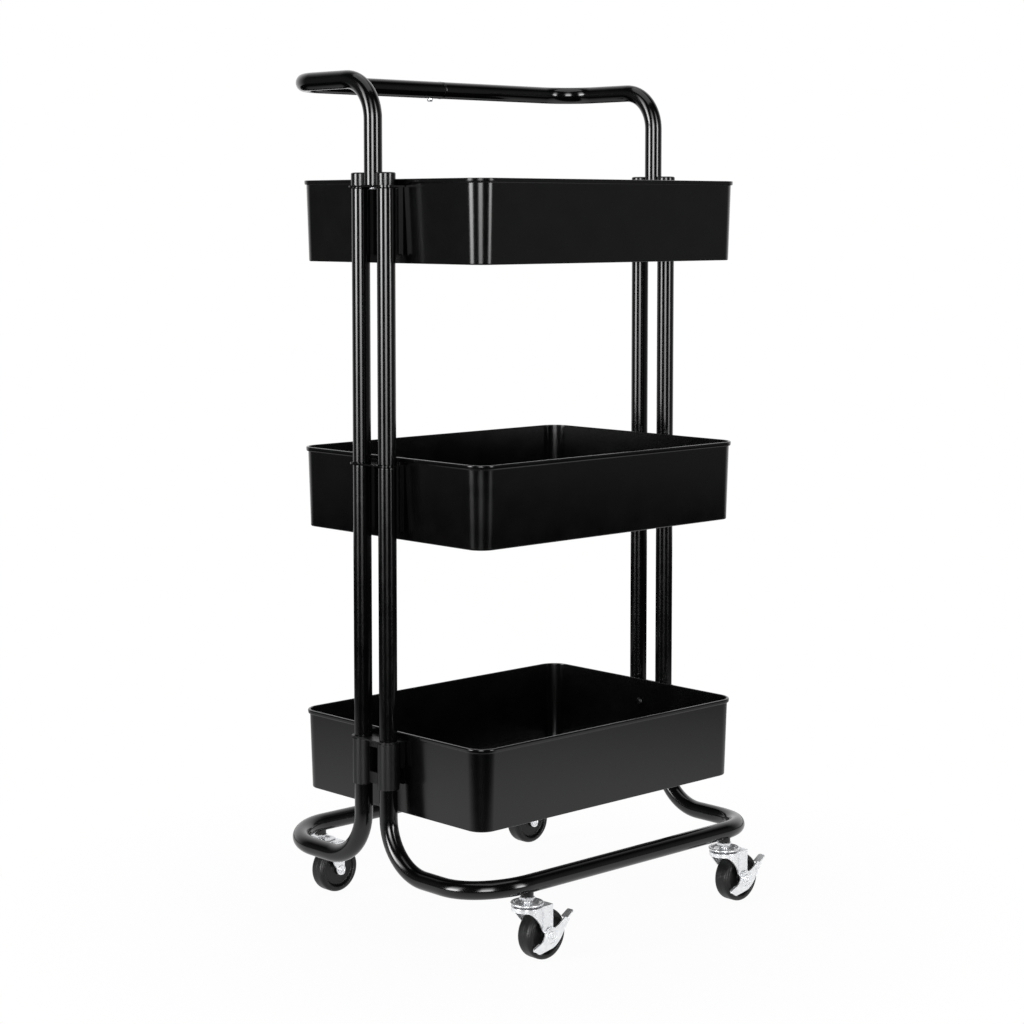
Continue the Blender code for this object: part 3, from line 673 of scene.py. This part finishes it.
def make_bracket(level, side_name):
    """Top plate under the posts' shoulders, a web with two wings, and sleeves on the bottom bracket."""
    end = ENDS[side_name]
    node = f"bracket_{level}_{side_name}"
    low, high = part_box(node)
    z_top = high.z
    z_low = low.z
    web_x = min(abs(low.x), abs(high.x))
    outer = POST_X + FLANGE_REACH
    half = POST_Y + FLANGE_REACH
    corners = [(web_x, -half, 0), (outer, -half, 0.0100), (outer, half, 0.0100), (web_x, half, 0)]
    outline = [(end * x, y) for x, y in filleted(corners, 10)]
    flange = prism(outline, z_top - FLANGE_THICK, z_top)
    web_top = z_top - FLANGE_THICK / 2
    is_bottom = level == "bottom"
    wing_low = z_low + (BOTTOM_WING_FOOT if is_bottom else WING_FOOT)
    foot_half = POST_Y if is_bottom else WEB_HALF
    joins = [
        end_box(end, web_x, web_x + SHEET_STEEL, -foot_half, foot_half, z_low + 0.0011, wing_low + 0.001),
        end_box(end, web_x, web_x + SHEET_STEEL, -WEB_HALF, WEB_HALF, wing_low + 0.0005, web_top)]
    for side in (-1, 1):
        wing = side * (WEB_HALF - SHEET_STEEL / 2)
        joins.append(end_box(
            end, web_x + 0.0002, web_x + WING_DEPTH, wing - SHEET_STEEL / 2, wing + SHEET_STEEL / 2,
            wing_low, web_top))
    if is_bottom:
        joins += sleeve_joins(end, web_x, z_low, z_top, web_top)
    bracket = combined(flange, joins, "UNION")
    cuts = []
    for side in (-1, 1):
        centre = (end * POST_X, side * POST_Y)
        cuts.append(rod(NECK + GAP, (*centre, z_top - 0.01), (*centre, z_top + 0.01), 40))
        if is_bottom:
            cuts.append(rod(TUBE + GAP, (*centre, z_low - 0.01), (*centre, z_top - FLANGE_THICK), 48))
    if is_bottom:
        window = POST_Y - SLEEVE - 0.0002
        cuts.append(end_box(
            end, POST_X - 0.004, POST_X + 0.02, -window, window, z_low + WINDOW_LOW, z_top - WINDOW_HIGH))
    screw = middle(f"wall_screw_{level}_{side_name}")
    cuts.append(rod(SCREW_HOLE, (end * (web_x - 0.01), 0, screw.z), (end * (web_x + 0.0035), 0, screw.z), 20))
    if level == "top":
        cuts.append(rod(SCREW_HOLE, (end * POST_X, 0, z_top - 0.01), (end * POST_X, 0, z_top + 0.01), 20))
    bracket = combined(bracket, cuts, "DIFFERENCE")
    placed(softened(bracket, 0.00028), node, "satin" if is_bottom else "coat")


# ---------------------------------------------------------------- screws
NUT_FLATS = 0.0041
HEX_SLACK = 1e-6
DRIVE_CLEAR = 0.002


def recessed(head, drive_radius, depth, blades):
    """Cut a cross or hexagon drive into a head whose top is at height 0."""
    cutters = []
    if blades:
        thin = drive_radius * 0.24
        for turn in (0, 90):
            blade = box((-drive_radius, -thin, -depth), (drive_radius, thin, DRIVE_CLEAR))
            cutters.append(moved(blade, Matrix.Rotation(math.radians(turn), 4, "Z")))
    else:
        cutters.append(rod(drive_radius, (0, 0, -depth), (0, 0, DRIVE_CLEAR), 6))
    return combined(head, cutters, "DIFFERENCE")


def make_wall_screws():
    """Button screws inside the baskets, each with a hexagon nut behind the bracket."""
    for level in LEVELS:
        for side_name, end in ENDS.items():
            node = f"wall_screw_{level}_{side_name}"
            low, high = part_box(node)
            length = high.x - low.x
            nut = length - 0.0008
            nut_low = nut - 0.0032
            profile = filleted([
                (0, length, 0), (0.0023, length, 0.0003), (0.0023, nut, 0), (0.0040, nut, 0.0002),
                (0.0050, nut - 0.0006, 0), (0.0050, nut_low, 0), (0.0023, nut_low, 0), (0.0023, 0.0022, 0),
                (0.0046, 0.0022, 0.0002), (0.0046, 0.0015, 0.0004), (0.0030, 0.0001, 0.0010), (0, 0, 0)])
            screw = lathe(profile, 48, (nut_low - HEX_SLACK, nut + HEX_SLACK, NUT_FLATS))
            flip = Matrix.Rotation(math.pi, 4, "X")
            screw = moved(screw, flip)
            screw = moved(recessed(screw, 0.0015, 0.0012, False), flip)
            moved(screw, Matrix.Rotation(math.radians(90 * end), 4, "Y"))
            start = low.x if end > 0 else high.x
            screw.location = (start, 0, (low.z + high.z) / 2)
            placed(screw, node, "black_oxide")


def make_handle_screws():
    """The cross-recessed screw under the handle's seam, and the two bolts that hold its feet."""
    low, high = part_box("handle_joint_screw")
    under = low.z
    profile = filleted([
        (0, high.z - under, 0), (0.0019, high.z - under, 0.0002), (0.0019, 0.0034, 0),
        (0.0034, 0.0034, 0.0002), (0.0034, 0.0018, 0.0006), (0.0024, 0.0001, 0.0010), (0, 0, 0)])
    flip = Matrix.Rotation(math.pi, 4, "X")
    screw = moved(lathe(profile, 40), flip)
    screw = moved(recessed(screw, 0.0018, 0.0010, True), flip)
    screw.location = (JOINT_SCREW.x, JOINT_SCREW.y, under)
    placed(screw, "handle_joint_screw", "zinc")
    for side_name, end in ENDS.items():
        node = f"handle_foot_screw_{side_name}"
        low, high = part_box(node)
        tall = high.z - low.z
        profile = filleted([
            (0, tall, 0), (0.0022, tall, 0), (0.0024, tall - 0.0005, 0), (0.0024, 0.0020, 0),
            (0.0042, 0.0020, 0.0002), (0.0042, 0.0010, 0.0008), (0.0026, 0.0001, 0.0008), (0, 0, 0)], 6)
        screw = lathe(profile, 48)
        screw.location = (end * POST_X, 0, low.z)
        placed(screw, node, "zinc_dull")


# ---------------------------------------------------------------- casters
FORK_SHEET = 0.0016
FORK_DISC = 0.0163
FORK_HALF = 0.013
FORK_BACK = 0.0245
FORK_TIP = 0.0064
FORK_SWEEP = 1.25
CREASE = (0.0088, 0.0101)
CREASE_DEPTH = 0.0007
COLLAR = 0.0082
COLLAR_FLATS = 0.0072
RACE = 0.0173
RACE_GAP = 0.0021
BALL_CIRCLE = 0.0128
BALL_COUNT = 20
KINGPIN = 0.0028
AXLE = 0.0023
AXLE_END = size("caster_axle_front_left").y / 2
WHEEL_HALF = 0.0098
LEVER_SHEET = 0.0015
LEVER_DISC = 0.0088
LEVER_BOSS = 0.0004
LEVER_BOSS_RADIUS = 0.0062
LEVER_RING = (0.0073, 0.0084)
LEVER_RING_DEPTH = 0.0008
LEVER_PAD_SPOT = Vector((0.0233, 0, 0.0138))
LEVER_PAD_TURN = math.radians(-32)
LEVER_SHOE_SPOT = Vector((-0.0178, 0, -0.0090))
LEVER_SHOE_TURN = math.radians(-28)


def make_socket(corner, x, y):
    """The boss welded under the base tube."""
    node = f"caster_socket_{corner}"
    low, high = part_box(node)
    radius = (high.x - low.x) / 2
    profile = filleted([(0, high.z, 0), (radius, high.z, 0), (radius, low.z, 0.0007), (0, low.z, 0)], 4)
    boss = lathe(profile, 44)
    boss.location = (x, y, 0)
    placed(boss, node, "coat_tube")


def make_stem(corner, x, y):
    """Hexagon collar, neck, dished race with a rolled edge, and the riveted kingpin."""
    corners = [
        (0, 0.0102, 0), (0.0064, 0.0102, 0.0003), (COLLAR, 0.0095, 0), (COLLAR, 0.0068, 0),
        (0.0068, 0.0063, 0.0002), (0.0048, 0.0061, 0.0003), (0.0048, 0.0036, 0.0010),
        (0.0078, 0.0030, 0.0008), (0.0116, 0.0024, 0.0010), (0.0134, 0.0042, 0.0010),
        (0.0152, 0.0050, 0.0012), (RACE, 0.0042, 0.0014), (RACE, 0.0028, 0.0008),
        (0.0160, RACE_GAP, 0.0005), (KINGPIN, RACE_GAP, 0), (KINGPIN, -FORK_SHEET - GAP, 0),
        (0.0046, -FORK_SHEET - GAP, 0.0002), (0.0044, -FORK_SHEET - 0.0014, 0.0008),
        (0, -FORK_SHEET - 0.0022, 0)]
    stem = lathe(filleted(corners, 5), 60, (0.0065, 0.0099, COLLAR_FLATS))
    stem.location = (x, y, FORK_TOP)
    placed(stem, f"caster_stem_{corner}", "zinc")


def make_bearing(corner, x, y):
    """A ring of balls in a thin retainer, in steel darkened as painted shade for the gap under the race."""
    radius = BALL_CIRCLE
    ball = RACE_GAP / 2 - 0.0002
    middle_z = RACE_GAP / 2
    bm = bmesh.new()
    for step in range(BALL_COUNT):
        angle = 2 * math.pi * step / BALL_COUNT
        spot = Matrix.Translation((radius * math.cos(angle), radius * math.sin(angle), middle_z))
        bmesh.ops.create_uvsphere(bm, u_segments=14, v_segments=8, radius=ball, matrix=spot)
    balls = mesh_object("balls", bm)
    cage = lathe(filleted([
        (radius - 0.0009, middle_z + 0.0003, 0), (radius + 0.0009, middle_z + 0.0003, 0.0001),
        (radius + 0.0009, middle_z - 0.0003, 0.0001), (radius - 0.0009, middle_z - 0.0003, 0)]), 60)
    ring = combined(balls, [cage], "UNION")
    ring.location = (x, y, FORK_TOP)
    # darkened steel: painted shade standing for the shadow in the gap between race and fork
    placed(ring, f"caster_bearing_{corner}", "steel_with_painted_shade")


def fork_outline():
    """The fork from the side: a skirt round the race, a swept front edge and a round tip at the axle."""
    skirt = FORK_TOP - 0.0042
    front = -0.0085
    swept = TRAIL - FORK_TIP - front + 0.0002
    fall = skirt - WHEEL_RADIUS - 0.0018
    above = FORK_TOP + 0.002
    behind = FORK_BACK + 0.0035
    points = [(-0.030, above), (-0.030, skirt), (front - 0.003, skirt), (front - 0.0008, skirt - 0.0002)]
    for step in range(15):
        share = step / 14
        points.append((front + swept * share, skirt - 0.0008 - fall * share ** FORK_SWEEP))
    for step in range(19):
        angle = math.radians(172 + 186 * step / 18)
        points.append((TRAIL + FORK_TIP * math.cos(angle), WHEEL_RADIUS + FORK_TIP * math.sin(angle)))
    return points + [(behind, WHEEL_RADIUS + 0.010), (behind, above)]


def fork_block(disc, half, back, z_low, z_high):
    """A round front and a square back, as seen from above."""
    base = rod(disc, (0, 0, z_low), (0, 0, z_high), 64)
    return combined(base, [box((0, -half, z_low), (back, half, z_high))], "UNION")


def fork_mesh():
    """The pressed fork: a bent shell with a crease in each cheek, cut to its outline."""
    outer = fork_block(FORK_DISC, FORK_HALF, FORK_BACK, 0.010, FORK_TOP)
    outer = softened(outer, 0.0008, 3, 50)
    inner = fork_block(
        FORK_DISC - FORK_SHEET, FORK_HALF - FORK_SHEET, FORK_BACK + 0.01, 0.005, FORK_TOP - FORK_SHEET)
    creases = []
    for side in (-1, 1):
        low_y, high_y = sorted((side * (FORK_HALF - CREASE_DEPTH), side * (FORK_HALF + 0.006)))
        creases.append(box((CREASE[0], low_y, 0), (CREASE[1], high_y, FORK_TOP - 0.0030)))
    fork = combined(outer, [inner] + creases, "DIFFERENCE")
    fork = combined(fork, [prism(fork_outline(), -0.03, 0.03, "XZ")], "INTERSECT")
    cuts = [rod(KINGPIN + GAP, (0, 0, 0.04), (0, 0, 0.07), 32)]
    cuts.append(rod(AXLE + GAP, (TRAIL, -0.03, WHEEL_RADIUS), (TRAIL, 0.03, WHEEL_RADIUS), 28))
    fork = combined(fork, cuts, "DIFFERENCE")
    return softened(fork, 0.00022, 2, 40)


def wheel_corners():
    """The wheel's outline on its +Y side, from the bore out: hub, dished web, rim, rounded tread."""
    half = WHEEL_HALF
    return [
        (AXLE + 2 * GAP, half + 0.0006, 0), (0.0060, half + 0.0006, 0.0005), (0.0066, half - 0.0026, 0.0006),
        (0.0100, half - 0.0034, 0.0006), (0.0184, half - 0.0036, 0.0010), (0.0199, half - 0.0006, 0.0006),
        (0.0210, half, 0.0006), (0.0233, half - 0.0002, 0.0010), (WHEEL_RADIUS, half - 0.0024, 0.0028),
        (WHEEL_RADIUS, 0.0003, 0), (WHEEL_RADIUS - 0.00012, 0.0, 0)]


def make_wheel(corner, centre):
    side = wheel_corners()
    far = [(radius, -height, bend) for radius, height, bend in side[::-1][1:]]
    wheel = lathe(filleted(side + far, 5), 96)
    moved(wheel, Matrix.Rotation(math.radians(-90), 4, "X"))
    wheel.location = centre
    placed(wheel, f"caster_wheel_{corner}", "wheel")


def make_axle(corner, centre):
    """The bolt: its head is outside the lever on a braked caster, and against the fork on the others."""
    head = FORK_HALF + LEVER_SHEET + LEVER_BOSS + 2 * GAP
    if corner.startswith("back"):
        head = FORK_HALF + GAP
    nut = FORK_HALF + GAP
    end = AXLE_END
    profile = filleted([
        (0, end, 0), (0.0021, end, 0.0003), (0.0021, end - 0.0010, 0), (0.0040, end - 0.0010, 0.0002),
        (0.0050, end - 0.0016, 0), (0.0050, nut, 0), (AXLE, nut, 0), (AXLE, -head, 0),
        (0.0046, -head, 0.0001), (0.0046, -head - 0.0008, 0.0003), (0.0030, -head - 0.0010, 0.0002),
        (0.0028, -head - 0.0006, 0.0001), (0.0018, -head - 0.0006, 0.0001),
        (0.0016, -head - 0.0012, 0.0002), (0, -head - 0.0012, 0)], 5)
    axle = lathe(profile, 48, (nut - HEX_SLACK, end - 0.0009, NUT_FLATS))
    moved(axle, Matrix.Rotation(math.radians(-90), 4, "X"))
    axle.location = centre
    placed(axle, f"caster_axle_{corner}", "zinc_dull")


def lever_outline():
    """The lever from the side, about the axle: shoe end, round the axle, pad end, and back below."""
    shoe_end = [
        (-0.0205, -0.0135, 0), (-0.0245, -0.0118, 0.0016), (-0.0240, -0.0098, 0.0014),
        (-0.0120, -0.0050, 0.0020), (-0.0082, 0.0010, 0.0015), (-0.0085, 0.0022, 0)]
    points = filleted(shoe_end, 5)
    for step in range(13):
        angle = math.radians(165 - 9 * step)
        points.append((LEVER_DISC * math.cos(angle), LEVER_DISC * math.sin(angle)))
    pad_end = [
        (0.0058, 0.0072, 0), (0.0112, 0.0096, 0.0020), (0.0198, 0.0157, 0.0010), (0.0263, 0.0127, 0.0014),
        (0.0205, 0.0050, 0.0030), (0.0130, -0.0062, 0.0040), (0.0050, -0.0128, 0.0040),
        (-0.0165, -0.0166, 0.0020), (-0.0205, -0.0135, 0)]
    return points + filleted(pad_end, 5)[:-1]


def lever_shape():
    """The pressed brake lever about its axle: plate, foot pad, shoe beside the wheel, boss, ring groove."""
    half = LEVER_SHEET / 2
    plate = prism(lever_outline(), -half, half, "XZ")
    pad_outline = filleted([(0, 0, 0), (0.0110, 0.0006, 0.0018), (0.0110, 0.0092, 0.0022), (0, 0.0092, 0)], 5)
    pad = prism([(a, b - half) for a, b in pad_outline], -half * 0.9, half * 0.9)
    moved(pad, Matrix.Translation(LEVER_PAD_SPOT) @ Matrix.Rotation(LEVER_PAD_TURN, 4, "Y"))
    shoe = box((-0.0044, 0, -half), (0.0044, 0.0033, half))
    moved(shoe, Matrix.Translation(LEVER_SHOE_SPOT) @ Matrix.Rotation(LEVER_SHOE_TURN, 4, "Y"))
    boss = rod(LEVER_BOSS_RADIUS, (0, -half - LEVER_BOSS, 0), (0, 0, 0), 44)
    lever = combined(plate, [pad, shoe, boss], "UNION")
    ring_inner, ring_outer = LEVER_RING
    ring = rod(ring_outer, (0, -half - 0.01, 0), (0, -half + LEVER_RING_DEPTH, 0), 60)
    core = rod(ring_inner, (0, -half - 0.02, 0), (0, 0.01, 0), 60)
    lever = combined(lever, [combined(ring, [core], "DIFFERENCE")], "DIFFERENCE")
    lever = combined(lever, [rod(AXLE + GAP, (0, -0.01, 0), (0, 0.01, 0), 28)], "DIFFERENCE")
    return softened(lever, 0.00030, 2, 40)


def copied(made):
    piece = made.copy()
    piece.data = made.data.copy()
    bpy.context.scene.collection.objects.link(piece)
    return piece


def make_casters():
    fork = fork_mesh()
    lever = lever_shape()
    for corner, (end, side) in CORNERS.items():
        x = end * STEM.x
        y = side * STEM.y
        make_socket(corner, x, y)
        make_stem(corner, x, y)
        make_bearing(corner, x, y)
        centre = (x + TRAIL, y, WHEEL_RADIUS)
        make_wheel(corner, centre)
        make_axle(corner, centre)
        piece = copied(fork)
        piece.location = (x, y, 0)
        placed(piece, f"caster_fork_{corner}", "zinc")
        if side < 0:
            piece = copied(lever)
            piece.location = (x + TRAIL, y - FORK_HALF - GAP - LEVER_SHEET / 2, WHEEL_RADIUS)
            placed(piece, f"brake_lever_{corner}", "zinc_dull")
    for spare in (fork, lever):
        bpy.data.objects.remove(spare, do_unlink=True)


# ---------------------------------------------------------------- stage, light and camera
CAMERA_SPOT = Vector((-1.7632, -1.8480, 0.7557))
CAMERA_YAW = 0.7581
CAMERA_PITCH = -0.0818
CAMERA_LENS = 82.66
CAMERA_SHIFT = -0.1026
FLOOR_RADIUS = 3.0
TO_CAMERA = Vector((-math.sin(CAMERA_YAW), -math.cos(CAMERA_YAW), 0))
STRIPS = (
    # azimuth from the camera's side in degrees, half width in degrees, strength
    (-60, 10.5, 20.0),
    (-3, 10.5, 14.0),
    (55, 7.5, 15.0),
)
STRIP_HEIGHTS = (
    # share of the way from LOOK_LOW to straight up, brightness of the strips there
    (0.030, 0.0), (0.056, 0.025), (0.110, 0.38), (0.160, 0.75),
    (0.195, 1.0), (0.28, 1.0), (0.48, 0.35), (0.74, 0.0),
)
STRIP_EDGE = math.radians(3)
LOOK_LOW = -0.20
BACKDROP = (-0.75, -0.30, 1.0, 0.012)
RIGHT_FILL = 0.17
LEFT_FILL = 0.085
MIRRORED_FLOOR = 0.80
FLOOR_GREY = 0.86
SOFTBOX_SIZE = 1.8
SOFTBOX_HEIGHT = 2.7
SOFTBOX_RADIANCE = 1.2


def ramp(tree, source, stops):
    """A curve through (position from 0 to 1, value from 0 to 1) stops."""
    node = add_node(tree, "ShaderNodeValToRGB", {"Fac": source})
    while len(node.color_ramp.elements) < len(stops):
        node.color_ramp.elements.new(0.5)
    for element, (spot, value) in zip(node.color_ramp.elements, stops):
        element.position = spot
        element.color = (value, value, value, 1)
    return node.outputs["Color"]


def toward(tree, vector, direction):
    """How far a vector socket points along a fixed direction."""
    node = add_node(tree, "ShaderNodeVectorMath", operation="DOT_PRODUCT")
    tree.links.new(vector, node.inputs[0])
    node.inputs[1].default_value = direction
    return node.outputs["Value"]


def make_floor():
    """A plain pale floor, white to the eye; what the cart mirrors of it is dark on the camera's side."""
    bm = bmesh.new()
    bmesh.ops.create_circle(bm, cap_ends=True, segments=128, radius=FLOOR_RADIUS)
    floor = mesh_object("floor", bm)
    floor.location = (0, 0, -0.0005)
    material = bpy.data.materials.new("pale_floor")
    material.use_nodes = True
    tree = material.node_tree
    tree.nodes.clear()
    coords = add_node(tree, "ShaderNodeTexCoord")
    spot = coords.outputs["Object"]
    reach = add_node(tree, "ShaderNodeVectorMath", operation="LENGTH")
    tree.links.new(spot, reach.inputs[0])
    near = remap(tree, reach.outputs["Value"], 0.60, 1.50, 1, 0)
    side = remap(tree, toward(tree, spot, TO_CAMERA), 0.28, 0.62, 1, 0)
    mirrored = add_node(tree, "ShaderNodeEmission")
    mirrored.inputs["Color"].default_value = (1, 1, 1, 1)
    level = combine(tree, "MULTIPLY", combine(tree, "MULTIPLY", near, side), MIRRORED_FLOOR)
    tree.links.new(level, mirrored.inputs["Strength"])
    glow = add_node(tree, "ShaderNodeEmission")
    glow.inputs["Strength"].default_value = 1.0
    diffuse = add_node(tree, "ShaderNodeBsdfDiffuse")
    diffuse.inputs["Color"].default_value = (FLOOR_GREY, FLOOR_GREY, FLOOR_GREY, 1)
    seen = add_node(tree, "ShaderNodeMixShader")
    tree.links.new(remap(tree, reach.outputs["Value"], 0.25, 0.60, 0.96, 1), seen.inputs[0])
    tree.links.new(diffuse.outputs[0], seen.inputs[1])
    tree.links.new(glow.outputs[0], seen.inputs[2])
    path = add_node(tree, "ShaderNodeLightPath")
    mix = add_node(tree, "ShaderNodeMixShader")
    tree.links.new(path.outputs["Is Camera Ray"], mix.inputs[0])
    tree.links.new(mirrored.outputs[0], mix.inputs[1])
    tree.links.new(seen.outputs[0], mix.inputs[2])
    output = add_node(tree, "ShaderNodeOutputMaterial")
    tree.links.new(mix.outputs[0], output.inputs["Surface"])
    floor.data.materials.append(material)


def strip_light(tree, bearing, height, azimuth, half_width, strength):
    """A tall soft strip around one bearing, standing on the horizon and fading far overhead."""
    aside = combine(tree, "ABSOLUTE", combine(tree, "SUBTRACT", bearing, math.radians(azimuth)), 0)
    width = math.radians(half_width)
    across = remap(tree, aside, width - STRIP_EDGE, width + STRIP_EDGE, 1, 0)
    upright = combine(tree, "MULTIPLY", across, height)
    return combine(tree, "MULTIPLY", upright, strength)


def make_world():
    """White to the eye; reflections see tall soft strips on the camera's side and a white backdrop."""
    world = bpy.data.worlds.new("studio")
    bpy.context.scene.world = world
    world.use_nodes = True
    tree = world.node_tree
    tree.nodes.clear()
    coords = add_node(tree, "ShaderNodeTexCoord")
    look = coords.outputs["Generated"]
    ahead = toward(tree, look, TO_CAMERA)
    aside = toward(tree, look, Vector((0, 0, 1)).cross(TO_CAMERA))
    bearing = combine(tree, "ARCTAN2", aside, ahead)
    upward = toward(tree, look, (0, 0, 1))
    height = ramp(tree, remap(tree, upward, LOOK_LOW, 1.0, 0, 1), STRIP_HEIGHTS)
    total = remap(tree, ahead, *BACKDROP)
    right = remap(tree, aside, 0.80, 1.0, 0, RIGHT_FILL)
    left = remap(tree, aside, -0.80, -1.0, 0, LEFT_FILL)
    total = combine(tree, "ADD", total, combine(tree, "ADD", right, left))
    for azimuth, half_width, strength in STRIPS:
        total = combine(tree, "ADD", total, strip_light(tree, bearing, height, azimuth, half_width, strength))
    room = add_node(tree, "ShaderNodeBackground")
    room.inputs["Color"].default_value = (1, 1, 1, 1)
    tree.links.new(total, room.inputs["Strength"])
    white = add_node(tree, "ShaderNodeBackground")
    white.inputs["Color"].default_value = (1, 1, 1, 1)
    path = add_node(tree, "ShaderNodeLightPath")
    mix = add_node(tree, "ShaderNodeMixShader")
    tree.links.new(path.outputs["Is Camera Ray"], mix.inputs[0])
    tree.links.new(room.outputs[0], mix.inputs[1])
    tree.links.new(white.outputs[0], mix.inputs[2])
    output = add_node(tree, "ShaderNodeOutputWorld")
    tree.links.new(mix.outputs[0], output.inputs["Surface"])


def make_lights():
    """One softbox overhead; the strips in the world do the rest."""
    data = bpy.data.lights.new("overhead_softbox", "AREA")
    data.shape = "SQUARE"
    data.size = SOFTBOX_SIZE
    data.energy = SOFTBOX_RADIANCE * math.pi * data.size ** 2
    light = bpy.data.objects.new("overhead_softbox", data)
    bpy.context.scene.collection.objects.link(light)
    light.location = (0, 0, SOFTBOX_HEIGHT)


def make_camera():
    data = bpy.data.cameras.new("photo_view")
    data.sensor_width = 36
    data.lens = CAMERA_LENS
    data.shift_y = CAMERA_SHIFT
    camera = bpy.data.objects.new("photo_view", data)
    bpy.context.scene.collection.objects.link(camera)
    camera.location = CAMERA_SPOT
    camera.rotation_euler = (math.pi / 2 + CAMERA_PITCH, 0, -CAMERA_YAW)
    bpy.context.scene.camera = camera


# ---------------------------------------------------------------- build
make_camera()
make_base()
make_posts()
make_post_caps()
for level in LEVELS:
    make_basket(level)
    for side_name in ENDS:
        make_bracket(level, side_name)
make_wall_screws()
make_handle()
make_handle_screws()
make_casters()
make_floor()
make_world()
make_lights()
bpy.context.scene.view_settings.view_transform = "Standard"
